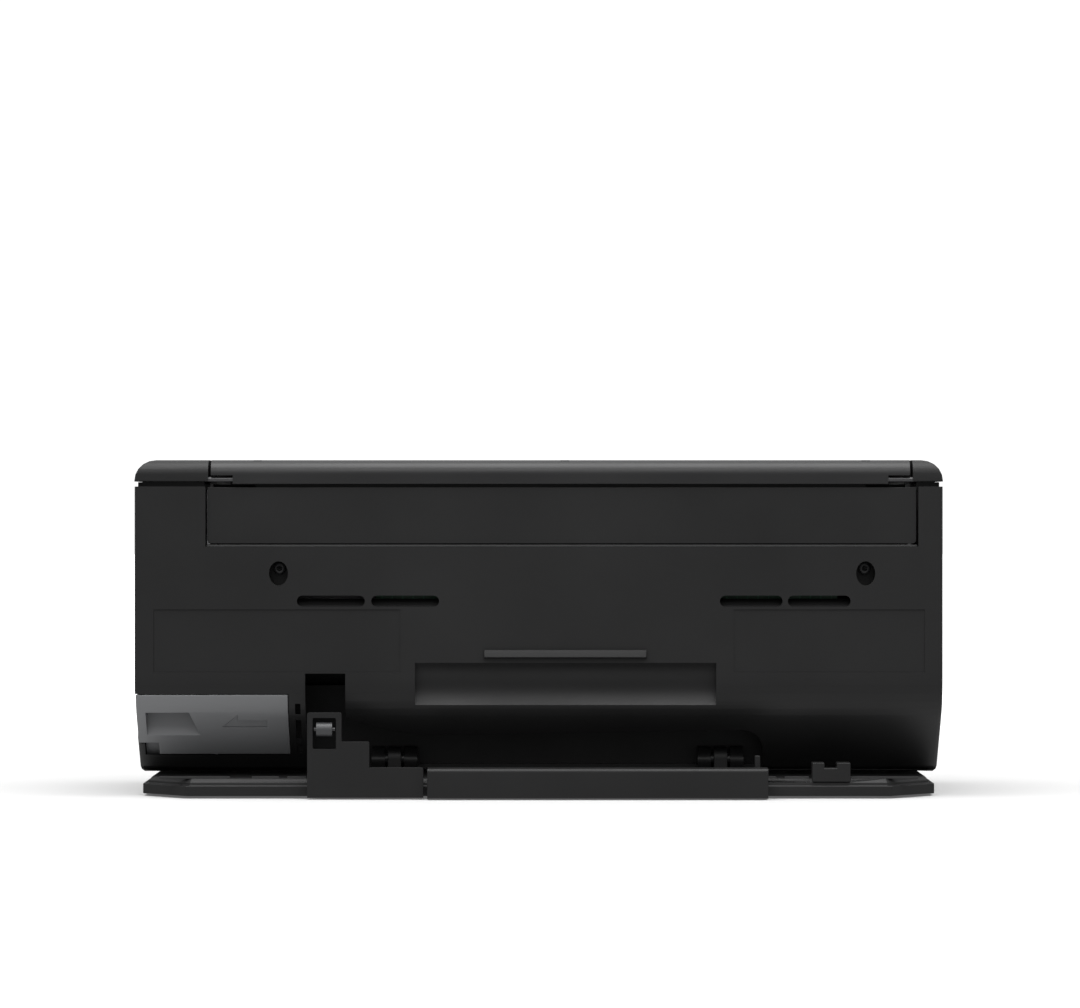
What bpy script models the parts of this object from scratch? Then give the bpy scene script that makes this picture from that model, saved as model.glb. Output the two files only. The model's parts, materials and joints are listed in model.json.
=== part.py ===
"""Sheet fed document scanner: a tilting body on a flat base, with a folding input tray on top.

The frame is +Z up, +Y to the rear and +X along the width, towards the end with the control buttons.
The origin is the middle of the footprint, at the height of the feet. Sizes are millimetres.
"""

import math

import bmesh
import bpy
from mathutils import Matrix, Vector

MM = 0.001
GAP = 0.3                   # between pieces that touch on the real machine

# Driving dimensions
WIDTH = 296.0
HALF = WIDTH / 2
DEPTH = 125.0
HEIGHT = 123.7
REAR = 50.5                 # rear face of the body
FRONT = -48.0               # front face of the body
BODY_TOP = 114.0
BODY_BOTTOM = 8.8
WALL = 2.4
CORNER = 1.6                # rounding of the body's outer side edges

TRAY_LOW = 114.9            # underside of the closed input tray
TRAY_LEFT, TRAY_RIGHT = 120.0, -136.0
CAP_LEFT, CAP_RIGHT = 121.0, -137.0
COVER_LEFT, COVER_RIGHT = 119.4, -134.4
CHASSIS_LEFT, CHASSIS_RIGHT = 120.3, -135.3
CHASSIS_SHEET = 1.4

TILT_AXIS = (24.0, 13.0)    # y and z of each hinge line
COVER_AXIS = (-43.5, 26.8)
COVER_SWING = 87.7          # reach of the front cover from its axis, so it clears the closed tray
TRAY_AXIS = (48.9, 116.6)
DOOR_AXIS = (-43.0, 13.8)
VENTS = ((63.6, 88.5), (36.4, 61.3), (-89.3, -66.3), (-114.2, -91.2))
SLOT_REACH = 42.0           # from the tilt axis to the roof of the bracket's slot

PAPER_MIDDLE = -8.0
PAPER_HALF = 110.0
PATH_TOP = Vector((24.5, 108.0))
PATH_DOWN = Vector((-0.3577, -0.9338))
PATH_FRONT = Vector((-0.9338, 0.3577))

MODULE = 1.0
GEAR_LOW, GEAR_HIGH = 126.5, 131.5
SHAFT = 3.0
TEETH = {"motor": 10, "idler": 12, "roller": 18, "conveyor": 28}

COLOURS = {
    "shell": ((0.022, 0.022, 0.023), 0.42, 0.0),
    "tray": ((0.030, 0.030, 0.032), 0.38, 0.0),
    "slider": ((0.105, 0.107, 0.112), 0.45, 0.0),
    "dark": ((0.012, 0.012, 0.012), 0.55, 0.0),
    "guide": ((0.055, 0.056, 0.058), 0.40, 0.0),
    "steel": ((0.55, 0.56, 0.58), 0.30, 1.0),
    "rubber": ((0.035, 0.036, 0.040), 0.85, 0.0),
    "nylon": ((0.74, 0.73, 0.69), 0.45, 0.0),
    "glass": ((0.60, 0.66, 0.68), 0.05, 0.0),
    "board": ((0.020, 0.110, 0.055), 0.45, 0.0),
    "lens": ((0.45, 0.62, 0.80), 0.20, 0.0),
}


# Outlines -------------------------------------------------------------------

def outline(corners, steps=5):
    """The points round corners given as (u, v) or (u, v, radius), with the radii as arcs."""
    points = []
    for i, corner in enumerate(corners):
        here = Vector(corner[:2])
        radius = corner[2] if len(corner) > 2 else 0.0
        if radius <= 0:
            points.append(here)
            continue
        back = (Vector(corners[i - 1][:2]) - here).normalized()
        ahead = (Vector(corners[(i + 1) % len(corners)][:2]) - here).normalized()
        half = back.angle(ahead) / 2
        middle = here + (back + ahead).normalized() * (radius / math.sin(half))
        start = here + back * (radius / math.tan(half)) - middle
        turn = start.angle_signed(here + ahead * (radius / math.tan(half)) - middle)
        for step in range(steps + 1):
            points.append(middle + Matrix.Rotation(-turn * step / steps, 2) @ start)
    return points


def inset(corners, distance):
    """A convex outline moved in by distance, with its radii reduced to match."""
    count = len(corners)
    centre = sum((Vector(c[:2]) for c in corners), Vector((0, 0))) / count
    lines = []
    for i in range(count):
        start, end = Vector(corners[i][:2]), Vector(corners[(i + 1) % count][:2])
        normal = (end - start).orthogonal().normalized()
        if normal.dot(centre - start) < 0:
            normal.negate()
        lines.append((start + normal * distance, end - start))
    moved = []
    for i, corner in enumerate(corners):
        (p, a), (q, b) = lines[i - 1], lines[i]
        along = (q - p).cross(b) / a.cross(b)
        radius = corner[2] if len(corner) > 2 else 0.0
        moved.append((*(p + a * along), max(radius - distance, 0.0)))
    return moved


def circle(u, v, radius, sides):
    return [Vector((u + radius * math.cos(2 * math.pi * i / sides),
                    v + radius * math.sin(2 * math.pi * i / sides))) for i in range(sides)]


def oblong(u0, u1, v0, v1, radius=None, steps=4):
    """A rectangle with rounded corners, or with round ends if no radius is given."""
    radius = min(u1 - u0, v1 - v0) / 2 - 0.01 if radius is None else radius
    return outline([(u0, v0, radius), (u1, v0, radius), (u1, v1, radius), (u0, v1, radius)], steps)


def gear_outline(centre, teeth, phase):
    """Straight-flanked teeth, the first of them centred on the phase angle."""
    pitch = 2 * math.pi / teeth
    root, tip = MODULE * (teeth / 2 - 1.1), MODULE * (teeth / 2 + 0.75)
    points = []
    for tooth in range(teeth):
        middle = phase + tooth * pitch
        for radius, offset in ((root, -0.27), (tip, -0.12), (tip, 0.12), (root, 0.27)):
            angle = middle + offset * pitch
            points.append(Vector((centre[0] + radius * math.cos(angle),
                                  centre[1] + radius * math.sin(angle))))
    return points


# Solids ---------------------------------------------------------------------

def solid(points, low, high, axis):
    """The outline swept from low to high along an axis. It lies in the other two, in X, Y, Z order."""
    place = {"X": lambda p, w: (w, p[0], p[1]), "Y": lambda p, w: (p[0], w, p[1]),
             "Z": lambda p, w: (p[0], p[1], w)}[axis]
    shape = bmesh.new()
    face = shape.faces.new([shape.verts.new(Vector(place(p, low)) * MM) for p in points])
    made = bmesh.ops.extrude_face_region(shape, geom=[face])
    moved = [item for item in made["geom"] if isinstance(item, bmesh.types.BMVert)]
    bmesh.ops.translate(shape, verts=moved, vec=Vector(place((0, 0), high - low)) * MM)
    bmesh.ops.recalc_face_normals(shape, faces=shape.faces)
    return shape


def box(x0, x1, y0, y1, z0, z1):
    return solid([(x0, y0), (x1, y0), (x1, y1), (x0, y1)], z0, z1, "Z")


def rod(centre, radius, low, high, axis="X", sides=20):
    return solid(circle(*centre, radius, sides), low, high, axis)


def slab(low_t, high_t, low_s, high_s, x0, x1):
    """A flat piece along the paper path: t runs down the path and s towards the front."""
    return solid([path(t, s) for t, s in ((low_t, low_s), (high_t, low_s),
                                          (high_t, high_s), (low_t, high_s))], x0, x1, "X")


def path(t, s=0.0):
    return PATH_TOP + PATH_DOWN * t + PATH_FRONT * s


def ease(shape, width, chosen, segments=2):
    """Rounds the edges for which chosen(a, b) holds, with a and b its ends in millimetres."""
    edges = [e for e in shape.edges if chosen(*(v.co / MM for v in e.verts))]
    bmesh.ops.bevel(shape, geom=edges, offset=width * MM, offset_type="OFFSET",
                    segments=segments, profile=0.5, affect="EDGES", material=-1)
    return shape


def raw(name, shape):
    mesh = bpy.data.meshes.new(name)
    shape.to_mesh(mesh)
    shape.free()
    thing = bpy.data.objects.new(name, mesh)
    bpy.context.scene.collection.objects.link(thing)
    return thing


def combine(thing, shapes, operation, solver="EXACT"):
    """Joins, cuts or intersects an object with each shape, and keeps only the result."""
    for shape in shapes:
        other = raw("tool", shape)
        step = thing.modifiers.new("step", "BOOLEAN")
        step.operation, step.object, step.solver = operation, other, solver
        bpy.context.view_layer.update()
        graph = bpy.context.evaluated_depsgraph_get()
        result = bpy.data.meshes.new_from_object(thing.evaluated_get(graph))
        thing.modifiers.clear()
        old, thing.data = thing.data, result
        bpy.data.meshes.remove(old)
        bpy.data.objects.remove(other)
    return thing


def material(kind):
    made = bpy.data.materials.get(kind)
    if made:
        return made
    colour, roughness, metallic = COLOURS[kind]
    made = bpy.data.materials.new(kind)
    made.use_nodes = True
    shader = made.node_tree.nodes["Principled BSDF"]
    shader.inputs["Base Color"].default_value = (*colour, 1.0)
    shader.inputs["Roughness"].default_value = roughness
    shader.inputs["Metallic"].default_value = metallic
    made.diffuse_color = (*colour, 1.0)
    return made


def piece(name, kind, shape, add=(), cut=(), within=(), origin=None, smooth=False):
    """One sub-part: a first shape, what is joined to it, cut from it, and what it is kept within."""
    thing = raw(name, shape)
    combine(thing, add, "UNION")
    combine(thing, within, "INTERSECT")
    combine(thing, cut, "DIFFERENCE")
    mesh = thing.data
    mesh.name = name
    mesh.materials.clear()
    mesh.materials.append(material(kind))
    if origin is not None:
        place = Vector(origin) * MM
        mesh.transform(Matrix.Translation(-place))
        thing.location = place
    if smooth:
        mesh.shade_smooth()
        mesh.set_sharp_from_angle(angle=math.radians(35))
    return thing


def group(name, at, things):
    """Parents a moving assembly to an empty on its joint's axis."""
    empty = bpy.data.objects.new(name, None)
    empty.location = Vector(at) * MM
    empty.empty_display_size = 0.02
    bpy.context.scene.collection.objects.link(empty)
    for thing in things:
        thing.parent = empty
        thing.location -= empty.location
    return empty


# Side views (y, z) ----------------------------------------------------------

BODY = [(REAR, BODY_TOP), (REAR, 34.7, 20), (24.6, BODY_BOTTOM, 2), (FRONT, BODY_BOTTOM, 4),
        (FRONT, 66, 30), (-38, BODY_TOP)]
LID = [(50.3, TRAY_LOW, 0.6), (50.3, HEIGHT, 5), (-12, HEIGHT, 40), (-37, TRAY_LOW, 1)]


def body_section(distance, top):
    """The body's side view moved in by distance, and reaching up to top."""
    corners = inset(BODY, distance)
    corners[0] = (corners[0][0], top)
    corners[-1] = (corners[-1][0], top)
    return outline(corners)


# Base -----------------------------------------------------------------------

def octagon(x, y0, y1, cut):
    return [(-x, y0 + cut), (-x + cut, y0), (x - cut, y0), (x, y0 + cut),
            (x, y1 - cut), (x - cut, y1), (-x + cut, y1), (-x, y1 - cut)]


def make_base():
    low, high = -DEPTH / 2, 53.4
    lugs = [solid(outline([(19.5, 6), (28.5, 6), (28.5, 17.5, 4.4), (19.5, 17.5, 4.4)]), x, x + 5, "X")
            for x in (51, -70)]
    holes = [rod(TILT_AXIS, 2.3, x - 1, x + 6) for x in (51, -70)]
    deck = solid(octagon(144, low + 2, high - 1.5, 16.5), 4, 7.2, "Z")
    ease(deck, 1.5, lambda a, b: a.z > 7 and b.z > 7, 1)
    peg = box(-81, -79, 50.4, 52.4, 6, 15.6)
    clip = solid([(-114, 6), (-100, 6), (-100, 13), (-104.5, 13), (-104.5, 11), (-109, 11),
                  (-109, 13), (-114, 13)], 45, 52.6, "Y")
    pads = [rod((x, y), 6.4, -1, 1.6, "Z") for x in (-128, 128) for y in (-44, 34)]
    plate = piece("base_plate", "shell", solid(octagon(146, low, high, 17), 0.8, 4.6, "Z"),
                  add=[deck, peg, clip] + lugs, cut=holes + pads)
    feet = [piece(f"foot_{end}_{side}", "rubber", rod((x, y), 6.0, 0, 1.3, "Z"))
            for end, y in (("front", -44), ("rear", 34)) for side, x in (("left", 128), ("right", -128))]
    pins = [piece(f"tilt_pin_{side}", "steel", rod(TILT_AXIS, 1.9, x - 6, x + 6))
            for side, x in (("left", 53.5), ("right", -67.5))]
    return [plate, *feet, *pins, make_bar(), *make_bracket()]


def make_bar():
    bar = solid(outline([(54, 0.4), (62.5, 0.4, 0.8), (62.5, 11.5, 1.5), (54, 11.5, 1.5)], 3),
                -83.5, 40.5, "X")
    return piece("rear_bar", "shell", bar)


def make_bracket():
    """A stepped plate that stands in the body's slot, with a detent roller in its window."""
    steps = outline([(42, 0.6), (84.3, 0.6), (84.3, 31.6, 0.7), (71.8, 31.6, 0.7), (71.8, 21),
                     (61.7, 21, 0.7), (61.7, 11.6), (42, 11.6, 0.7)], 2)
    foot = box(46, 82, 42, 56, 7.5, 9.6)
    window = solid(oblong(73.8, 82.3, 18.3, 29.7, 0.5, 2), 50, 62, "Y")
    axle = rod((57.3, 25.5), 0.8, 73.2, 82.8, sides=12)
    groove = rod((57.3, 25.5), 1.1, 74.2, 81.8, sides=12)
    bracket = piece("tilt_bracket", "shell", solid(steps, 55.7, 58.9, "Y"), add=[foot], cut=[window, groove])
    pin = piece("detent_pin", "steel", axle, within=[box(74.1, 81.9, 50, 62, 0, 40)])
    roller = piece("detent_roller", "guide", rod((57.3, 25.5), 2.6, 75.2, 81.0),
                   cut=[rod((57.3, 25.5), 1.1, 70, 86, sides=12)], origin=(78, 57.3, 25.5), smooth=True)
    return bracket, pin, roller


# Body -----------------------------------------------------------------------

def make_rear_housing():
    rim = body_section(0, BODY_TOP)
    shell = ease(solid(rim, -HALF, HALF, "X"), CORNER,
                 lambda a, b: abs(a.x) > HALF - 0.1 and abs(b.x) > HALF - 0.1 and not a.z == b.z == BODY_TOP)
    hollow = solid(body_section(WALL, 120), -HALF + WALL, HALF - WALL, "X")
    backing = [box(-68, 48, 41.5, 49, 34, 53), *(rod((x, 82.2), 6.2, 41, 49, "Y") for x in (95.2, -119.7))]
    ledge = [(44, 68.6), (48.6, 68.6), (48.6, 70.4), (45.8, 72.8), (44, 72.8)]
    backing += [solid(ledge, x0 - 1, x1 + 1, "X") for x0, x1 in VENTS]
    lip = solid([(49, 50.6), (51.6, 51.4), (51.6, 54.3), (49, 54.3)], -39.5, 20, "X")
    slot_roof = [Vector(TILT_AXIS) + Vector((math.cos(a), math.sin(a))) * SLOT_REACH
                 for a in (math.radians(100) * i / 16 for i in range(17))]
    cuts = [
        box(CHASSIS_RIGHT, CHASSIS_LEFT, -60, -14, 0, 120),                 # front, between the towers
        box(-143.5, 143.5, -43.5, 21, 0, 12),                               # under, for the bottom cover
        solid(outline([(-83, 0), (75, 0), (75, 31), (62, 26, 8), (44, 22.5, 20),
                       (-83, 24.5, 8)]), 15, 60, "Y"),                      # middle cavity
        solid([(18, 0), (66, 0)] + slot_roof, 70.8, 85.5, "X"),             # bracket slot
        box(91.6, 145.5, 20, 60, 14.8, 38.0), box(91.6, 150, 34.8, 60, 14.8, 38.0),  # lock slider
        box(-139.0, 122.0, 47, 60, 92.0, 116),                              # rear panel
        box(50.7, 141, 50.2, 60, 46, 69), box(-141.3, -71.4, 50.2, 60, 46, 69),
        rod((57.0, 40.6), 11.0, -65, 45.3, sides=40),                       # hand grip
        rod((34, 58), 4.3, -150, -140), solid(oblong(15.1, 24.9, 55.9, 60.1), -150, -140, "X"),
    ]
    cuts += [box(87.3, 89.3, 20, 60, z0, z1) for z0, z1 in ((30.5, 34.4), (21.2, 28.2), (15.4, 18.7))]
    shell_cuts = [solid(oblong(x0, x1, 70, 74.1), 46, 60, "Y") for x0, x1 in VENTS]
    for x in (95.2, -119.7):
        cuts.append(solid([(x + 3.5 * math.cos(a), 82.2 + 4.45 * math.sin(a))
                           for a in (2 * math.pi * i / 20 for i in range(20))], 42.5, 60, "Y"))
    housing = piece("rear_housing", "shell", shell, cut=[hollow] + shell_cuts)
    combine(housing, backing + [lip], "UNION")
    return combine(housing, cuts, "DIFFERENCE", "MANIFOLD")


def make_rear_panel():
    face = ease(box(-138.3, 121.3, 47.1, 49.3, 93.1, 113.7), 1.2,
                lambda a, b: a.z < 94 and b.z < 94 and abs(a.x - b.x) < 0.1)
    ridge = solid([(45.5, 107), (47.4, 107), (47.4, 110), (46.9, 110.6), (46.9, 116.3), (45.5, 116.3)],
                  -120, 104, "X")
    return piece("rear_panel", "shell", face, add=[ridge])


def cap(name, x_in, x_out, holes=()):
    """An end cap: the lid's side view, with its outer top corner rounded, over a hollow."""
    low, radius = 115.8, 7.7
    front = [(x_in, low), (x_out, low), (x_out, HEIGHT, radius), (x_in, HEIGHT)]
    side = [(50.3, low, 0.6), (50.3, HEIGHT, 5), (-12, HEIGHT, 40), (-36.6, low, 1)]
    inner_side = inset(side, WALL)
    inner_front = inset(front, 2.0)
    for corners in (inner_side, inner_front):
        for i, corner in enumerate(corners):
            if corner[1] < low + 5:
                corners[i] = (corner[0], low - 2)
    hollow = combine(raw("hollow", solid(outline(inner_side), x_in, x_out, "X")),
                     [solid(outline(inner_front), -60, 60, "Y")], "INTERSECT", "MANIFOLD")
    shape = bmesh.new()
    shape.from_mesh(hollow.data)
    bpy.data.objects.remove(hollow)
    made = piece(name, "shell", solid(outline(side), min(x_in, x_out), max(x_in, x_out), "X"),
                 within=[solid(outline(front), -60, 60, "Y")], cut=[shape, *holes])
    x0, x1 = sorted((x_in + math.copysign(1.6, x_in), x_out - math.copysign(2.7, x_out)))
    skirt = combine(raw("skirt", box(x0, x1, -31, 47.3, 112.9, 122)),
                    [box(x0 + 1.2, x1 - 1.2, -29.8, 46.1, 110, 130)], "DIFFERENCE")
    ring = bmesh.new()
    ring.from_mesh(skirt.data)
    bpy.data.objects.remove(skirt)
    return combine(made, [ring], "UNION")


BUTTONS = {"power_button": (134.5, 0.0, 5.0), "wireless_button": (134.5, 11.5, 3.2),
           "stop_button": (134.5, 21.5, 4.0), "scan_button": (134.5, 33.5, 5.5)}
LENS = (134.5, 42.3)


def make_caps():
    holes = [rod((x, y), radius + 0.3, 110, 130, "Z", 28) for x, y, radius in BUTTONS.values()]
    holes.append(solid(oblong(LENS[0] - 4.3, LENS[0] + 4.3, LENS[1] - 1.5, LENS[1] + 1.5), 110, 130, "Z"))
    holes.append(box(127.0, 142.0, -9, 45, HEIGHT - 0.3, 130))
    holes.append(rod(TRAY_AXIS, 1.2, 118, 125, sides=12))
    left = cap("control_cap", CAP_LEFT, HALF, holes)
    right = cap("side_cap", CAP_RIGHT, -HALF, [rod(TRAY_AXIS, 1.2, -142, -134, sides=12)])
    lens = piece("status_lens", "lens", solid(oblong(LENS[0] - 4, LENS[0] + 4, LENS[1] - 1.2, LENS[1] + 1.2),
                                              120.6, 123.3, "Z"))
    pins = [piece(f"tray_hinge_pin_{side}", "steel", rod(TRAY_AXIS, 0.9, x0, x1, sides=12))
            for side, x0, x1 in (("left", 108, 124.5), ("right", -140.5, -124))]
    return [left, right, lens, *pins]


def make_buttons():
    made = []
    for name, (x, y, radius) in BUTTONS.items():
        top = ease(rod((x, y), radius, 118.2, 123.6, "Z", 28), 0.4,
                   lambda a, b: a.z > 123 and b.z > 123, 1)
        made.append(piece(name, "tray", top, origin=(x, y, 121), smooth=True))
    return made


FEED = path(22, -11.15)
CONVEYOR = path(50, -6.15)
EXIT = path(81, -6.15)
SEPARATION = path(22, 8.15)
UPPER_PINCH = path(50, 5.15)
LOWER_PINCH = path(81, 5.15)
MOTOR = CONVEYOR + Vector((19 * math.cos(math.radians(-5)), 19 * math.sin(math.radians(-5))))


def make_chassis():
    """Two sheet side plates, with a hole for each shaft and trunnion that runs in them."""
    made = []
    for side, x in (("left", CHASSIS_LEFT), ("right", CHASSIS_RIGHT - CHASSIS_SHEET)):
        holes = [rod(c, SHAFT + GAP, x - 1, x + 3) for c in (FEED, CONVEYOR, EXIT)]
        holes.append(rod(COVER_AXIS, 2.3, x - 1, x + 3))
        holes.append(rod(DOOR_AXIS, 1.5, x - 1, x + 3, sides=12))
        plate = solid(body_section(WALL + GAP, 112.6), x, x + CHASSIS_SHEET, "X")
        cut = holes + [box(x - 1, x + 3, -60, 60, 0, 11.6), box(x - 1, x + 3, 46.5, 60, 90, 120)]
        cut.append(box(x - 1, x + 3, 33, 60, 0, 39))
        made.append(piece(f"chassis_{side}", "steel", plate, cut=cut))
    return made


def make_bottom_cover():
    plate = box(-143, 143, -43, 20.6, 9.0, 10.8)
    arms = [solid(outline([(19.5, 9.0), (26, 9.0, 2), (28.5, 13, 2), (24, 17.5, 3), (19.5, 17.5, 3)]), x, x + 5, "X")
            for x in (57, 45, -76, -64)]
    notches = [box(x - 0.4, x + 5.4, 18.9, 30, 0, 20) for x in (51, -70)]
    holes = [rod(TILT_AXIS, 2.3, x, x + 19) for x in (44, -77)]
    wall = box(-134.5, 119.6, 17.2, 18.4, 10, 40)
    return piece("bottom_cover", "shell", plate, add=arms + [wall], cut=notches + holes)


def make_paper_path():
    upper = slab(1, 43, -0.8, -2.8, PAPER_MIDDLE - PAPER_HALF, PAPER_MIDDLE + PAPER_HALF)
    window = slab(8, 36, 0, -4, PAPER_MIDDLE - 20, PAPER_MIDDLE + 20)
    lower = slab(90.5, 97, -0.8, -2.8, PAPER_MIDDLE - PAPER_HALF, PAPER_MIDDLE + PAPER_HALF)
    x0, x1 = PAPER_MIDDLE - 112, PAPER_MIDDLE + 112
    return [
        piece("rear_upper_guide", "guide", upper, cut=[window]),
        piece("rear_lower_guide", "guide", lower),
        piece("rear_image_sensor", "dark", slab(58, 74, -1.5, -14, x0, x1)),
        piece("rear_sensor_glass", "glass", slab(58, 74, -0.25, -1.2, x0, x1)),
        piece("main_board", "board", box(-110, 60, 40.0, 41.2, 57, 92)),
    ]


def taken(thing):
    """The shape of a working object, which is then removed."""
    shape = bmesh.new()
    shape.from_mesh(thing.data)
    bpy.data.objects.remove(thing)
    return shape


def make_lock_slider():
    """A slide that wraps the body's lower corner, with a finger well in its thick outer end."""
    band = solid(body_section(0, BODY_TOP), 91.9, 140.2, "X")
    hollow = solid(body_section(2.1, 120), 80, 160, "X")
    end = solid(body_section(0, BODY_TOP), 119.5, 147.6, "X")
    thick = taken(combine(raw("thick", end), [box(119, 148, 35.2, 60, 15.1, 37.7)], "INTERSECT"))
    mark = solid([(99.8, 25.5), (116.4, 25.5), (110.5, 30.1), (110.5, 28), (99.8, 28)], 30, 60, "Y")
    arrow = taken(combine(raw("arrow", mark), [solid(body_section(0.5, 120), 90, 125, "X")], "DIFFERENCE"))
    well = solid([(122, 15.6), (144.2, 15.6), (144.2, 31), (128.3, 31)], 38.2, 60, "Y")
    slider = piece("position_lock", "slider", band, cut=[hollow])
    combine(slider, [box(91, 146, 24, 60, 15.1, 37.7)], "INTERSECT")
    combine(slider, [thick], "UNION")
    combine(slider, [well, arrow], "DIFFERENCE")
    place = Vector((120, 45, 26)) * MM
    slider.data.transform(Matrix.Translation(-place))
    slider.location = place
    return slider


def make_body_fittings():
    screws = [piece(f"housing_screw_{side}", "dark", rod((x, 84.0), 2.3, 42.8, 44.6, "Y"), smooth=True)
              for side, x in (("left", 95.2), ("right", -119.7))]
    inlet = piece("power_inlet", "dark", rod((34, 58), 4.0, -147.7, -139), cut=[rod((34, 58), 2.8, -150, -141)])
    port = piece("usb_port", "steel", solid(oblong(15.5, 24.5, 56.3, 59.7), -147.7, -139, "X"),
                 cut=[solid(oblong(16, 24, 56.8, 59.2), -150, -141, "X")])
    motor = piece("feed_motor", "steel", rod(MOTOR, 13, 89, 119.8, sides=28))
    return [*screws, inlet, port, motor]


# Gears, rollers -------------------------------------------------------------

def between(first, second, reach_first, reach_second, side):
    """The point at the given distances from two centres, on one side of the line between them."""
    line = second - first
    along = (reach_first ** 2 - reach_second ** 2 + line.length ** 2) / (2 * line.length)
    off = math.sqrt(reach_first ** 2 - along ** 2)
    return first + line.normalized() * along + line.orthogonal().normalized() * (off * side)


def meshed(teeth, centre, phase, other_teeth, other):
    """The phase of another gear whose gap meets a tooth of this one on their line of centres."""
    line = other - centre
    angle = math.atan2(line.y, line.x)
    travel = (angle - phase) * teeth / other_teeth
    return angle + math.pi + travel + math.pi / other_teeth


def drive_shaft(name, centre, teeth, phase):
    shaft = rod(centre, SHAFT, -138.0, 134.0)
    gear = solid(gear_outline(centre, teeth, phase), GEAR_LOW, GEAR_HIGH, "X")
    return piece(name, "steel", shaft, add=[gear], origin=(0, *centre))


def sleeve(name, centre, radius, x0, x1, hole=SHAFT + GAP):
    return piece(name, "rubber", rod(centre, radius, x0, x1, sides=28),
                 cut=[rod(centre, hole, x0 - 1, x1 + 1)], origin=(0, *centre), smooth=True)


def make_drive():
    big, mid, small, pinion = TEETH["conveyor"], TEETH["roller"], TEETH["idler"], TEETH["motor"]
    reach_big, reach_mid = MODULE * (big + small) / 2, MODULE * (mid + small) / 2
    upper = between(CONVEYOR, FEED, reach_big, reach_mid, 1)
    lower = between(CONVEYOR, EXIT, reach_big, reach_mid, 1)
    phase_upper = meshed(big, CONVEYOR, 0, small, upper)
    phase_lower = meshed(big, CONVEYOR, 0, small, lower)
    made = {
        "conveyor": [drive_shaft("conveyor_shaft", CONVEYOR, big, 0),
                     sleeve("conveyor_roller", CONVEYOR, 6, PAPER_MIDDLE - 60, PAPER_MIDDLE + 60)],
        "feed": [drive_shaft("feed_shaft", FEED, mid, meshed(small, upper, phase_upper, mid, FEED)),
                 sleeve("feed_roller", FEED, 11, PAPER_MIDDLE - 17, PAPER_MIDDLE + 17)],
        "exit": [drive_shaft("exit_shaft", EXIT, mid, meshed(small, lower, phase_lower, mid, EXIT)),
                 sleeve("exit_roller", EXIT, 6, PAPER_MIDDLE - 60, PAPER_MIDDLE + 60)],
    }
    for name, centre, teeth, phase in (("upper_idler_gear", upper, small, phase_upper),
                                       ("lower_idler_gear", lower, small, phase_lower),
                                       ("motor_pinion", MOTOR, pinion, meshed(big, CONVEYOR, 0, pinion, MOTOR))):
        gear = solid(gear_outline(centre, teeth, phase), GEAR_LOW, GEAR_HIGH, "X")
        stub = rod(centre, 1.5, 122.1, GEAR_HIGH + 1, sides=12)
        made[name] = [piece(name, "nylon", gear, add=[stub], origin=(0, *centre))]
    return made


# Front cover ----------------------------------------------------------------

def swung(radius, first, last):
    """Points on an arc about the front cover's axis, over the cover's top, with angles in degrees."""
    turns = [math.radians(first + (last - first) * i / 8) for i in range(9)]
    return [tuple(Vector(COVER_AXIS) + Vector((math.cos(a), math.sin(a))) * radius) for a in turns]


COVER = [(FRONT, 24.4, 1.5), (FRONT, 66, 30), (-38.4, 113.2, 3), *swung(COVER_SWING, 80.1, 48.3),
         tuple(path(90, 3.3)), (-14, 24.4)]


def make_front_cover():
    holes = [rod(c, 1.8, -140, 130, sides=16) for c in (SEPARATION, UPPER_PINCH, LOWER_PINCH)]
    hollow = solid([(-45.8, 26.6), (6, 26.6), (40, 84), *reversed(swung(COVER_SWING - 2.2, 80.5, 45)),
                    (-36.8, 111), (-45.8, 65.6)], COVER_RIGHT + 2.2, COVER_LEFT - 2.2, "X")
    trunnions = [rod(COVER_AXIS, 2.0, x0, x1) for x0, x1 in ((118, 123), (-138, -133))]
    recess = box(-22, 6, -36.4, -28.0, 112.2, 120)
    cover = piece("front_cover", "shell", solid(outline(COVER), COVER_RIGHT, COVER_LEFT, "X"),
                  cut=[hollow, recess, box(-17, 1, -36, -30.1, 105, 120),
                       rod(SEPARATION, 8.6, PAPER_MIDDLE - 16.5, PAPER_MIDDLE + 16.5, sides=28)])
    combine(cover, trunnions, "UNION")
    combine(cover, holes, "DIFFERENCE")
    x0, x1 = PAPER_MIDDLE - PAPER_HALF, PAPER_MIDDLE + PAPER_HALF
    guide = piece("front_guide", "guide", slab(19.5, 42, 0.9, 2.9, x0, x1),
                  cut=[slab(11, 33, 0, 5, PAPER_MIDDLE - 18, PAPER_MIDDLE + 18)])
    latch = piece("cover_latch", "slider", box(-21.6, 5.6, -33.6, -28.3, 112.5, 113.4),
                  add=[box(-16.6, 0.6, -33.2, -30.4, 108.5, 113)])
    return [cover, guide, latch,
            piece("front_image_sensor", "dark", slab(58, 74, 1.6, 13, x0 - 2, x1 + 2)),
            piece("front_sensor_glass", "glass", slab(58, 74, 0.3, 1.3, x0 - 2, x1 + 2))]


def pinch(name, centre, radius, half, kind):
    """A free roller moulded on its own thin axle."""
    return piece(name, kind, rod(centre, 1.5, -133.6, 118.6, sides=16),
                 add=[rod(centre, radius, PAPER_MIDDLE - half, PAPER_MIDDLE + half, sides=24)],
                 origin=(0, *centre), smooth=True)


def make_exit_door():
    door = box(-134.0, 119.0, -44.4, -42.2, 12.7, 21.9)
    return piece("exit_door", "shell", door, add=[rod(DOOR_AXIS, 1.1, -138, 123, sides=12)],
                 origin=(0, *DOOR_AXIS))


# Input tray -----------------------------------------------------------------

TRAY_NOTCH = (-39.0, 23.0)
TIP = -9.0


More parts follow.
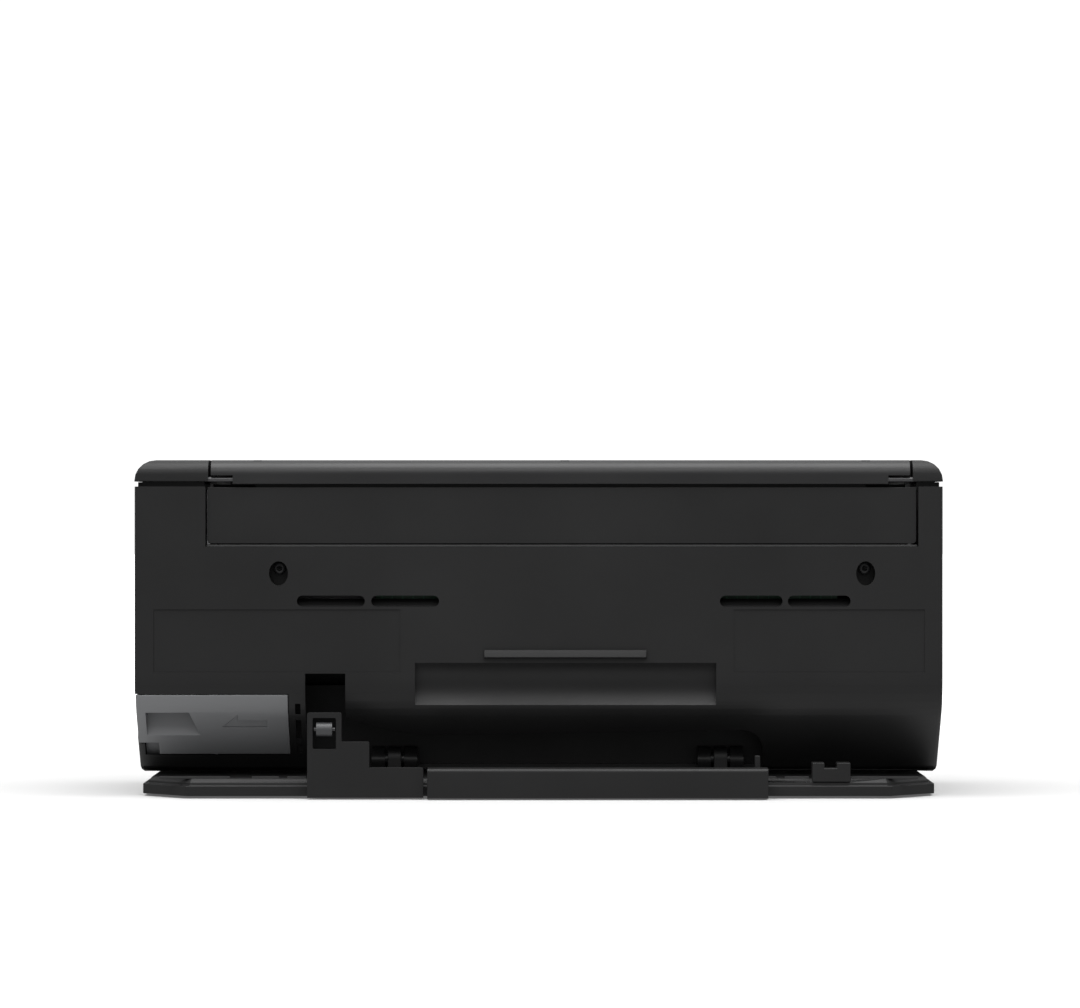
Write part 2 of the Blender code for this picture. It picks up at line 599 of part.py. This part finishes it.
def make_tray():
    hollow_corners = [(48.3, 100), (48.3, 121.9, 3), (-12.3, 121.9, 38), (-34.4, 113.8), (-34.4, 100)]
    lugs = [box(x, x + 4, 45.9, 49.4, 115.0, 119.5) for x in (107.7, -127.7)]
    cuts = [rod(TRAY_AXIS, 1.2, x - 0.5, x + 4.5, sides=12) for x in (107.7, -127.7)]
    cuts += [box(112, 121, 46, 52, 110, 118.1), box(-137, -128, 46, 52, 110, 118.1),
             box(*TRAY_NOTCH, -60, TIP, 100, 130)]
    cuts += [box(x - 1.6, x + 1.6, 44.5, 52, 123.3, 130) for x in (103, -9.6, -120)]
    tray = piece("tray_cover", "tray", solid(outline(LID), TRAY_RIGHT, TRAY_LEFT, "X"),
                 cut=[solid(outline(hollow_corners), TRAY_RIGHT + 2, TRAY_LEFT - 2, "X")])
    combine(tray, lugs, "UNION")
    combine(tray, cuts, "DIFFERENCE")
    liner = piece("tray_liner", "guide", box(TRAY_RIGHT + 2.4, TRAY_LEFT - 2.4, TIP + 2, 45, 118.9, 120.1))
    tip = piece("tray_extension", "tray", solid(outline(LID), TRAY_NOTCH[0] + GAP, TRAY_NOTCH[1] - GAP, "X"),
                cut=[box(-60, 60, TIP - GAP, 60, 100, 130), box(-60, 60, -60, 60, 100, 117.6)])
    combine(tip, [box(TRAY_NOTCH[0] + 2, TRAY_NOTCH[1] - 2, TIP - 2, 40, 120.4, 121.6)], "UNION")
    return [tray, liner], tip


PINION = (PAPER_MIDDLE, 33.0)
PINION_TEETH = 8
RACK = (117.1, 118.5)


def edge_guide(name, side):
    """A paper stop with a toothed bar that reaches the middle pinion. Side is +1 on the left."""
    pitch, reach = math.pi * MODULE, PINION_TEETH * MODULE / 2
    x_blade = PAPER_MIDDLE + side * 109.0
    points = [(x_blade, PINION[1] + side * (reach + 4.5)), (PAPER_MIDDLE - side * 6, PINION[1] + side * (reach + 4.5))]
    start = PINION[0] - pitch / 2 if side > 0 else PINION[0] + pitch / 2
    valley, crest = PINION[1] + side * (reach + 1.1), PINION[1] + side * (reach - 0.75)
    points.append((points[-1][0], valley))
    for tooth in range(24):
        middle = start + side * tooth * pitch
        for x, y in ((-0.27, valley), (-0.12, crest), (0.12, crest), (0.27, valley)):
            points.append((middle + side * x * pitch, y))
    points.append((x_blade, valley))
    bar = solid(points, *RACK, "Z")
    blade = box(*sorted((x_blade, x_blade + side * 1.8)), 20, 45, 109.5, 116.6)
    post = box(*sorted((x_blade - side * 4, x_blade + side * 1.8)),
               *sorted((PINION[1] + side * (reach + 1.6), PINION[1] + side * (reach + 4.4))), 115, 118.4)
    return piece(name, "guide", bar, add=[blade, post], origin=(x_blade, 32, 117))


def make_guides():
    phase = math.radians(90)
    gear = solid(gear_outline(PINION, PINION_TEETH, phase), *RACK, "Z")
    pinion = piece("guide_pinion", "nylon", gear, origin=(*PINION, 117.8))
    return edge_guide("edge_guide_left", 1), edge_guide("edge_guide_right", -1), pinion


# Assembly -------------------------------------------------------------------

def build():
    for old in list(bpy.data.objects):
        bpy.data.objects.remove(old, do_unlink=True)

    group("base", (0, 0, 0), make_base())
    fixed = [make_rear_housing(), make_rear_panel(), make_bottom_cover(), *make_caps(), *make_chassis(),
             *make_paper_path(), *make_body_fittings()]
    moving = [make_lock_slider(), *make_buttons(), make_exit_door()]
    for pieces in make_drive().values():
        moving += pieces
    body = group("body", (0, *TILT_AXIS), fixed + moving)

    rollers = [pinch("separation_roller", SEPARATION, 8, 15, "rubber"),
               pinch("upper_pinch_roller", UPPER_PINCH, 5, 58, "guide"),
               pinch("lower_pinch_roller", LOWER_PINCH, 5, 58, "guide")]
    cover = group("front_cover_unit", (0, *COVER_AXIS), make_front_cover() + rollers)

    tray_fixed, extension = make_tray()
    tray = group("input_tray", (0, *TRAY_AXIS), tray_fixed + [extension, *make_guides()])
    for part in (cover, tray):
        part.parent = body
        part.location -= body.location


build()
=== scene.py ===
import json
import math

import bmesh
import bpy
from mathutils import Matrix, Vector


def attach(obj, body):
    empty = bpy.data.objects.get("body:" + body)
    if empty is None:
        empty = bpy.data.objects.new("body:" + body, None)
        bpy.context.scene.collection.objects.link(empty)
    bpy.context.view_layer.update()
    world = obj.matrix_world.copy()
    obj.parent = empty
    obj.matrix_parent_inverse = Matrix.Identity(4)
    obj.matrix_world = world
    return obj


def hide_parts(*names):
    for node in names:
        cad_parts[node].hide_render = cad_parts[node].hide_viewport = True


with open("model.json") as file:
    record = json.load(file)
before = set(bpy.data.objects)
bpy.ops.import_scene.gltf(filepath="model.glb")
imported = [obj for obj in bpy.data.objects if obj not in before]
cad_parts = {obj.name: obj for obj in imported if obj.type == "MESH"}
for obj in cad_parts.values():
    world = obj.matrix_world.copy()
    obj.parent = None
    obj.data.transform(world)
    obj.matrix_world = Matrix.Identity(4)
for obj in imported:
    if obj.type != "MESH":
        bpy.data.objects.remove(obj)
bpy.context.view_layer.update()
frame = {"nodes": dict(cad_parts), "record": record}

MM = 0.001
BODY_OF = {node: body for body, nodes in frame["record"]["behaviour"]["bodies"].items() for node in nodes}
SLOT_OF = {entry["node"]: entry["material_slot"] for entry in frame["record"]["subparts"]}


# ---- Finishes ---------------------------------------------------------------

class Finish:
    """A Principled material built up node by node, on Object coordinates."""

    def __init__(self, name, colour, roughness, metallic=0.0, specular=0.5):
        self.material = bpy.data.materials.new(name)
        self.material.use_nodes = True
        self.tree = self.material.node_tree
        self.shader = self.tree.nodes["Principled BSDF"]
        self.shader.inputs["Base Color"].default_value = (*colour, 1.0)
        self.shader.inputs["Roughness"].default_value = roughness
        self.shader.inputs["Metallic"].default_value = metallic
        self.shader.inputs["Specular IOR Level"].default_value = specular
        self.place = self.tree.nodes.new("ShaderNodeTexCoord").outputs["Object"]

    def add(self, kind, **settings):
        node = self.tree.nodes.new(kind)
        for key, value in settings.items():
            setattr(node, key, value)
        return node

    def join(self, source, target):
        self.tree.links.new(source, target)

    def stretched(self, scale):
        node = self.add("ShaderNodeMapping")
        node.inputs["Scale"].default_value = scale
        self.join(self.place, node.inputs["Vector"])
        return node.outputs["Vector"]

    def noise(self, scale, detail=2.0, rough=0.5, place=None):
        node = self.add("ShaderNodeTexNoise")
        node.inputs["Scale"].default_value = scale
        node.inputs["Detail"].default_value = detail
        node.inputs["Roughness"].default_value = rough
        self.join(place or self.place, node.inputs["Vector"])
        return node.outputs["Fac"]

    def cells(self, scale):
        node = self.add("ShaderNodeTexVoronoi", feature="SMOOTH_F1")
        node.inputs["Scale"].default_value = scale
        self.join(self.place, node.inputs["Vector"])
        return node.outputs["Distance"]

    def ranged(self, source, low, high, start=0.3, end=0.7):
        node = self.add("ShaderNodeMapRange")
        for name, value in (("From Min", start), ("From Max", end), ("To Min", low), ("To Max", high)):
            node.inputs[name].default_value = value
        self.join(source, node.inputs["Value"])
        return node.outputs["Result"]

    def mixed(self, factor, first, second):
        node = self.add("ShaderNodeMix", data_type="RGBA")
        node.inputs["A"].default_value = (*first, 1.0)
        node.inputs["B"].default_value = (*second, 1.0)
        self.join(factor, node.inputs["Factor"])
        return node.outputs["Result"]

    def tinted(self, factor, first, second):
        """Blends the base colour between two tones."""
        self.join(self.mixed(factor, first, second), self.shader.inputs["Base Color"])

    def polished(self, source, low, high, start=0.3, end=0.7):
        """Varies the roughness between two values."""
        self.join(self.ranged(source, low, high, start, end), self.shader.inputs["Roughness"])

    def bumped(self, *layers):
        """Each layer is a height, its depth in metres and its strength."""
        previous = None
        for height, depth, strength in layers:
            node = self.add("ShaderNodeBump")
            node.inputs["Strength"].default_value = strength
            node.inputs["Distance"].default_value = depth
            self.join(height, node.inputs["Height"])
            if previous:
                self.join(previous, node.inputs["Normal"])
            previous = node.outputs["Normal"]
        self.join(previous, self.shader.inputs["Normal"])
        return self


def moulded(name, colour, roughness, grain=1400.0, depth=0.00003, specular=0.35, lift=1.18):
    """Spark-textured moulded plastic: fine pebbled grain, handling sheen and a faint worn tone."""
    finish = Finish(name, colour, roughness, specular=specular)
    finish.polished(finish.noise(22.0, 4.0, 0.55), roughness - 0.05, roughness + 0.07)
    worn = finish.ranged(finish.noise(9.0, 3.0), 0.0, 1.0)
    finish.tinted(worn, colour, tuple(c * lift for c in colour))
    finish.bumped((finish.cells(grain), depth, 0.25), (finish.noise(grain * 0.35, 3.0), depth, 0.12))
    return finish.material


def rolled_steel(name):
    """Zinc plated sheet: long rolling lines along X with a faint spangle."""
    finish = Finish(name, (0.52, 0.53, 0.55), 0.3, metallic=1.0)
    lines = finish.noise(900.0, 3.0, 0.6, finish.stretched((0.04, 1.0, 1.0)))
    spangle = finish.cells(160.0)
    finish.polished(lines, 0.24, 0.42)
    finish.tinted(spangle, (0.47, 0.48, 0.50), (0.60, 0.61, 0.62))
    return finish.bumped((lines, 0.00001, 0.2)).material


def matt_rubber(name):
    """Ground rubber with a dusty bloom."""
    finish = Finish(name, (0.03, 0.031, 0.034), 0.85, specular=0.25)
    dust = finish.ranged(finish.noise(60.0, 5.0, 0.65), 0.0, 1.0)
    finish.tinted(dust, (0.026, 0.027, 0.030), (0.050, 0.051, 0.054))
    finish.polished(dust, 0.75, 0.92, 0.0, 1.0)
    return finish.bumped((finish.noise(2600.0, 2.0), 0.00004, 0.4)).material


def natural_nylon(name):
    """Off-white nylon with faint flow marks."""
    finish = Finish(name, (0.74, 0.73, 0.69), 0.42)
    flow = finish.ranged(finish.noise(120.0, 3.0), 0.0, 1.0)
    finish.tinted(flow, (0.70, 0.69, 0.64), (0.78, 0.77, 0.73))
    finish.polished(flow, 0.36, 0.5, 0.0, 1.0)
    finish.shader.inputs["Subsurface Weight"].default_value = 0.08
    return finish.bumped((finish.noise(1500.0), 0.00001, 0.2)).material


def sensor_glass(name):
    """Clear glass with a light film of paper dust."""
    finish = Finish(name, (0.80, 0.86, 0.87), 0.04)
    finish.polished(finish.noise(45.0, 6.0, 0.7), 0.02, 0.14)
    finish.shader.inputs["Transmission Weight"].default_value = 0.85
    finish.shader.inputs["IOR"].default_value = 1.5
    return finish.material


def solder_mask(name):
    """A green board with darker copper tracks showing through."""
    finish = Finish(name, (0.02, 0.11, 0.055), 0.4)
    bricks = finish.add("ShaderNodeTexBrick", offset=0.5)
    bricks.inputs["Scale"].default_value = 130.0
    bricks.inputs["Mortar Size"].default_value = 0.035
    finish.join(finish.place, bricks.inputs["Vector"])
    finish.tinted(bricks.outputs["Fac"], (0.016, 0.095, 0.045), (0.035, 0.17, 0.08))
    finish.polished(finish.noise(70.0), 0.32, 0.48)
    return finish.bumped((bricks.outputs["Fac"], 0.00003, 0.5)).material


def light_guide(name):
    """A milky lens over the status lamp."""
    finish = Finish(name, (0.45, 0.62, 0.80), 0.2)
    cloud = finish.ranged(finish.noise(300.0, 3.0), 0.0, 1.0)
    finish.tinted(cloud, (0.42, 0.58, 0.76), (0.50, 0.66, 0.84))
    finish.polished(cloud, 0.15, 0.28, 0.0, 1.0)
    return finish.material


FINISHES = {
    "shell": moulded("black_shell", (0.0110, 0.0110, 0.0112), 0.45, specular=0.27),
    "tray": moulded("black_tray", (0.0150, 0.0150, 0.0155), 0.36, 1600.0, 0.00002),
    "slider": moulded("grey_slider", (0.165, 0.168, 0.173), 0.42, 1500.0),
    "dark": moulded("matt_black", (0.010, 0.010, 0.010), 0.62),
    "guide": moulded("paper_guide", (0.050, 0.051, 0.053), 0.36, 2200.0, 0.00001),
    "steel": rolled_steel("zinc_steel"),
    "rubber": matt_rubber("roller_rubber"),
    "nylon": natural_nylon("natural_nylon"),
    "screw": moulded("blackened_screw", (0.030, 0.030, 0.032), 0.30, 2400.0, 0.00001, 0.6),
    "glass": sensor_glass("sensor_glass"),
    "board": solder_mask("main_board_green"),
    "lens": light_guide("status_lens"),
}


# ---- Mesh work --------------------------------------------------------------

def publish(shape, name, body, slot, node=None, sharp=34.0, finish=None):
    """Turns a bmesh into a finished piece that rides on a body and wears a slot's finish."""
    mesh = bpy.data.meshes.new(name)
    shape.to_mesh(mesh)
    shape.free()
    mesh.materials.append(FINISHES[finish or slot])
    mesh.shade_smooth()
    mesh.set_sharp_from_angle(angle=math.radians(sharp))
    piece = bpy.data.objects.new(name, mesh)
    bpy.context.scene.collection.objects.link(piece)
    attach(piece, body)
    if node:
        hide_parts(node)
    weight = piece.modifiers.new("even_normals", "WEIGHTED_NORMAL")
    weight.keep_sharp = True
    return piece


def merged(node):
    """A copy of a CAD node's mesh, joined up, with its flat faces made whole again."""
    shape = bmesh.new()
    shape.from_mesh(frame["nodes"][node].data)
    bmesh.ops.remove_doubles(shape, verts=shape.verts, dist=0.000002)
    bmesh.ops.dissolve_degenerate(shape, dist=0.00002, edges=shape.edges)
    bmesh.ops.dissolve_limit(shape, angle_limit=math.radians(0.6), verts=shape.verts, edges=shape.edges)
    return shape


def soften(shape, width, angle=28.0, segments=2, chosen=None):
    """Rounds the edges that turn by more than an angle."""
    edges = [edge for edge in shape.edges if len(edge.link_faces) == 2
             and edge.calc_face_angle(0.0) > math.radians(angle) and (chosen is None or chosen(edge))]
    bmesh.ops.bevel(shape, geom=edges, offset=width, offset_type="OFFSET", segments=segments,
                    profile=0.5, affect="EDGES", clamp_overlap=True, material=-1)
    return shape


SOFT_EDGE = {"shell": 0.35, "tray": 0.35, "slider": 0.35, "guide": 0.25, "dark": 0.25, "steel": 0.12,
             "rubber": 0.25, "nylon": 0.15, "glass": 0.1, "board": 0.1, "lens": 0.2}


LABEL_LOW, LABEL_HIGH = 45.0 * MM, 70.0 * MM     # the rear's shallow label recesses lie between these
LABEL_DEPTH_FROM = 50.15 * MM
LABEL_INNER_LEFT, LABEL_INNER_RIGHT = 50 * MM, -70 * MM
DETAILED = ("housing_screw_left", "housing_screw_right")
DARK_PINS = ("tray_hinge_pin_left", "tray_hinge_pin_right", "tilt_pin_left", "tilt_pin_right", "detent_pin")


def off_label_steps(edge):
    """True unless an edge belongs to the step round a label recess, which stays crisp."""
    return not all(point.y > LABEL_DEPTH_FROM and LABEL_LOW < point.z < LABEL_HIGH
                   and (point.x > LABEL_INNER_LEFT or point.x < LABEL_INNER_RIGHT)
                   for point in (vertex.co for vertex in edge.verts))


def finish_nodes():
    for node in frame["nodes"]:
        if node in DETAILED:
            continue
        slot = SLOT_OF[node]
        chosen = off_label_steps if node == "rear_housing" else None
        shape = soften(merged(node), SOFT_EDGE[slot] * MM, chosen=chosen)
        publish(shape, node + "_finished", BODY_OF[node], slot, node,
                finish="screw" if node in DARK_PINS else None)


# ---- Added detail -----------------------------------------------------------

def spun(profile, centre, steps=32):
    """A closed solid turned about a line along Y, from (radius, y) points in millimetres."""
    shape = bmesh.new()
    ring = [shape.verts.new(Vector((r, y, 0)) * MM) for r, y in profile]
    edges = [shape.edges.new(pair) for pair in zip(ring, ring[1:])]
    bmesh.ops.spin(shape, geom=ring + edges, cent=(0, 0, 0), axis=(0, 1, 0), angle=math.tau, steps=steps)
    bmesh.ops.remove_doubles(shape, verts=shape.verts, dist=0.000002)
    bmesh.ops.recalc_face_normals(shape, faces=shape.faces)
    bmesh.ops.translate(shape, verts=shape.verts, vec=Vector((centre[0], 0, centre[1])) * MM)
    return shape


def prism(points, low, high, axis, round_off=0.0):
    """A closed prism over an outline in millimetres, along X or Y."""
    shape = bmesh.new()
    place = {"X": lambda u, v, w: (w, u, v), "Y": lambda u, v, w: (u, w, v)}[axis]
    rings = [[shape.verts.new(Vector(place(u, v, w)) * MM) for u, v in points] for w in (low, high)]
    shape.faces.new(rings[0])
    shape.faces.new(list(reversed(rings[1])))
    for i in range(len(points)):
        k = (i + 1) % len(points)
        shape.faces.new((rings[0][k], rings[0][i], rings[1][i], rings[1][k]))
    bmesh.ops.recalc_face_normals(shape, faces=shape.faces)
    return soften(shape, round_off * MM, 20.0) if round_off else shape


def joined(shapes):
    """One bmesh that holds several."""
    whole = bmesh.new()
    for shape in shapes:
        part = bpy.data.meshes.new("part")
        shape.to_mesh(part)
        shape.free()
        whole.from_mesh(part)
        bpy.data.meshes.remove(part)
    return whole


SCREW_HEIGHT = 84.0


def add_screws():
    """A pan head in each well of the rear housing, its cross recess drawn as painted shade: a matt-black
    cross, darker than the head, filling the head's shallow dip.
    """
    for side, x in (("left", 95.2), ("right", -119.7)):
        head = spun([(0, 42.8), (2.0, 42.8), (2.3, 43.1), (2.3, 43.9), (2.1, 44.3), (1.4, 44.5),
                     (1.1, 44.5), (0.9, 44.1), (0, 43.7)], (x, SCREW_HEIGHT))
        publish(head, f"screw_head_{side}", BODY_OF[f"housing_screw_{side}"], "dark",
                f"housing_screw_{side}", 50.0, "screw")
        # Painted shade: the cross recess is a raised matt-black cross standing in for the shade inside a
        # real recess.
        recess_shade_arms = []
        for a, b in ((1.0, 0.22), (0.22, 1.0)):
            corners = [(x - a, SCREW_HEIGHT - b), (x + a, SCREW_HEIGHT - b),
                       (x + a, SCREW_HEIGHT + b), (x - a, SCREW_HEIGHT + b)]
            recess_shade_arms.append(prism(corners, 43.6, 44.25, "Y", 0.06))
        publish(joined(recess_shade_arms), f"screw_recess_shade_{side}", BODY_OF[f"housing_screw_{side}"], "dark")


def add_deck_ridges():
    """Short raised ribs along the rear edge of the base, which the body rests over."""
    spans = ((113, 139), (95, 105), (85, 92), (-87, -84), (-99, -90), (-139, -114))
    section = [(48.4, 7.0), (50.2, 7.0), (50.0, 7.9), (48.7, 7.9)]
    ribs = [prism(section, x0, x1, "X", 0.15) for x0, x1 in spans]
    publish(joined(ribs), "deck_ridges", "base", "shell")


def add_bar_gap_shade():
    """Painted shade: dark strips at both ends of the rear bar, standing in for the shaded gaps there."""
    # Painted shade: thin matt-black sheets on the bar's rear face where the gaps at its ends fall into
    # shade.
    gap_shade_strips = [prism([(62.30, 1.2), (62.46, 1.2), (62.46, 10.6), (62.30, 10.6)], x, x + 0.35, "X")
             for x in (-83.2, 39.8)]
    publish(joined(gap_shade_strips), "rear_bar_gap_shade", "base", "dark")


def add_top_seals():
    """Strips inside the joint between the body and the lid, which shut out the light."""
    for side, x0, x1 in (("left", 99.0, 119.8), ("right", -134.8, -116.0)):
        publish(prism([(39.0, 108.0), (41.0, 108.0), (41.0, 114.8), (39.0, 114.8)], x0, x1, "X"),
                f"top_seal_{side}", "body", "dark")
    for side, x0, x1 in (("left", 122.4, 146.9), ("right", -146.9, -138.4)):
        publish(prism([(20.0, 112.0), (47.2, 112.0), (47.2, 115.6), (20.0, 115.6)], x0, x1, "X", 0.2),
                f"cap_seal_{side}", "body", "dark")


def add_lock_track():
    """The grey track under the position lock, along the slope of the body's lower corner."""
    publish(prism([(27.1, 14.9), (33.1, 20.9), (32.5, 21.5), (26.5, 15.5)], 92.0, 145.3, "X"),
            "lock_track", "body", "slider")


def add_rear_edges():
    """The chamfered ledge below the rear panel and the sloped face of the lip over the hand grip."""
    publish(prism([(47.4, 92.08), (50.3, 92.08), (49.4, 92.75), (47.4, 92.75)], -138.6, 121.6, "X", 0.06),
            "panel_ledge", "body", "shell")
    publish(prism([(50.9, 51.0), (52.5, 51.5), (51.6, 54.25), (50.9, 54.25)], -39.4, 19.9, "X", 0.25),
            "grip_lip_face", "body", "shell")


def add_details():
    add_screws()
    add_deck_ridges()
    add_bar_gap_shade()
    add_top_seals()
    add_lock_track()
    add_rear_edges()


# ---- Stage ------------------------------------------------------------------

REAR_FACE = 50.5 * MM
CAMERA_HEIGHT = 107.6 * MM
CAMERA_REACH = 1.650
SKY = (("SMOOTHSTEP", 0.05, 0.85, 0.30, 1.25),      # from the horizon up
       ("LINEAR", -0.1, -0.8, 0.0, 0.7))             # from just below the horizon down


def make_camera():
    data = bpy.data.cameras.new("camera")
    data.sensor_width = 36.0
    data.lens = 150.3
    camera = bpy.data.objects.new("camera", data)
    camera.location = (-0.5 * MM, REAR_FACE + CAMERA_REACH, CAMERA_HEIGHT)
    camera.rotation_euler = (math.pi / 2, 0.0, math.pi)
    bpy.context.scene.collection.objects.link(camera)
    bpy.context.scene.camera = camera


def make_light(name, place, target, size, power):
    data = bpy.data.lights.new(name, "AREA")
    data.shape = "RECTANGLE"
    data.size, data.size_y = size
    data.energy = power
    lamp = bpy.data.objects.new(name, data)
    lamp.location = place
    lamp.rotation_euler = (Vector(target) - Vector(place)).to_track_quat("-Z", "Y").to_euler()
    bpy.context.scene.collection.objects.link(lamp)


def stage_piece(name, shape, material):
    mesh = bpy.data.meshes.new(name)
    shape.to_mesh(mesh)
    shape.free()
    mesh.materials.append(material)
    thing = bpy.data.objects.new(name, mesh)
    bpy.context.scene.collection.objects.link(thing)
    return thing


def glowing(name, colour, glow):
    """White card that gives off a little light of its own."""
    card = Finish(name, colour, 0.9, specular=0.05)
    card.shader.inputs["Emission Color"].default_value = (1.0, 1.0, 1.0, 1.0)
    card.shader.inputs["Emission Strength"].default_value = glow
    return card.material


def floor_paper():
    """White paper that takes the object's shadow close by and glows evenly further off."""
    paper = Finish("floor_paper", (0.50, 0.50, 0.50), 0.9, specular=0.05)
    spread = paper.add("ShaderNodeVectorMath", operation="LENGTH")
    paper.join(paper.place, spread.inputs[0])
    paper.join(paper.ranged(spread.outputs["Value"], FLOOR_GLOW_NEAR, 1.1, 0.22, 0.9),
               paper.shader.inputs["Emission Strength"])
    paper.shader.inputs["Emission Color"].default_value = (1.0, 1.0, 1.0, 1.0)
    return paper.material


FLOOR_GLOW_NEAR = 0.10
FLOOR_REACH = 9.0
FLOOR_DROP = 0.05 * MM
BACKDROP_PLACE = -8.0


def make_world():
    """Soft light that grows towards the zenith, with some thrown back from below."""
    world = bpy.data.worlds.new("studio")
    world.use_nodes = True
    tree = world.node_tree
    sky = tree.nodes["Background"]
    turn = tree.nodes.new("ShaderNodeSeparateXYZ")
    tree.links.new(tree.nodes.new("ShaderNodeTexCoord").outputs["Generated"], turn.inputs["Vector"])
    total = tree.nodes.new("ShaderNodeMath")
    for socket, (style, start, end, low, high) in enumerate(SKY):
        ramp = tree.nodes.new("ShaderNodeMapRange")
        ramp.interpolation_type = style
        for field, value in (("From Min", start), ("From Max", end), ("To Min", low), ("To Max", high)):
            ramp.inputs[field].default_value = value
        tree.links.new(turn.outputs["Z"], ramp.inputs["Value"])
        tree.links.new(ramp.outputs["Result"], total.inputs[socket])
    tree.links.new(total.outputs["Value"], sky.inputs["Strength"])
    sky.inputs["Color"].default_value = (1.0, 1.0, 1.0, 1.0)
    bpy.context.scene.world = world


def make_stage():
    shape = bmesh.new()
    bmesh.ops.create_grid(shape, x_segments=1, y_segments=1, size=FLOOR_REACH)
    bmesh.ops.translate(shape, verts=shape.verts, vec=(0, 0, -FLOOR_DROP))
    floor = stage_piece("floor", shape, floor_paper())
    shape = bmesh.new()
    upright = Matrix.Translation((0, BACKDROP_PLACE, 0)) @ Matrix.Rotation(math.pi / 2, 4, "X")
    bmesh.ops.create_grid(shape, x_segments=1, y_segments=1, size=FLOOR_REACH, matrix=upright)
    backdrop = stage_piece("backdrop", shape, glowing("backdrop_paper", (0.0, 0.0, 0.0), 1.1))
    for thing in (floor, backdrop):
        thing.visible_diffuse = thing.visible_glossy = False
    backdrop.visible_shadow = False
    make_world()
    make_light("overhead", (0.0, 0.30, 1.2), (0.0, 0.03, 0.08), (1.8, 0.9), 22.0)
    make_light("rear_sky", (0.0, 1.3, 1.0), (0.0, 0.05, 0.05), (1.8, 0.3), 5.0)
    bpy.context.scene.view_settings.view_transform = "Standard"


finish_nodes()
add_details()
make_camera()
make_stage()
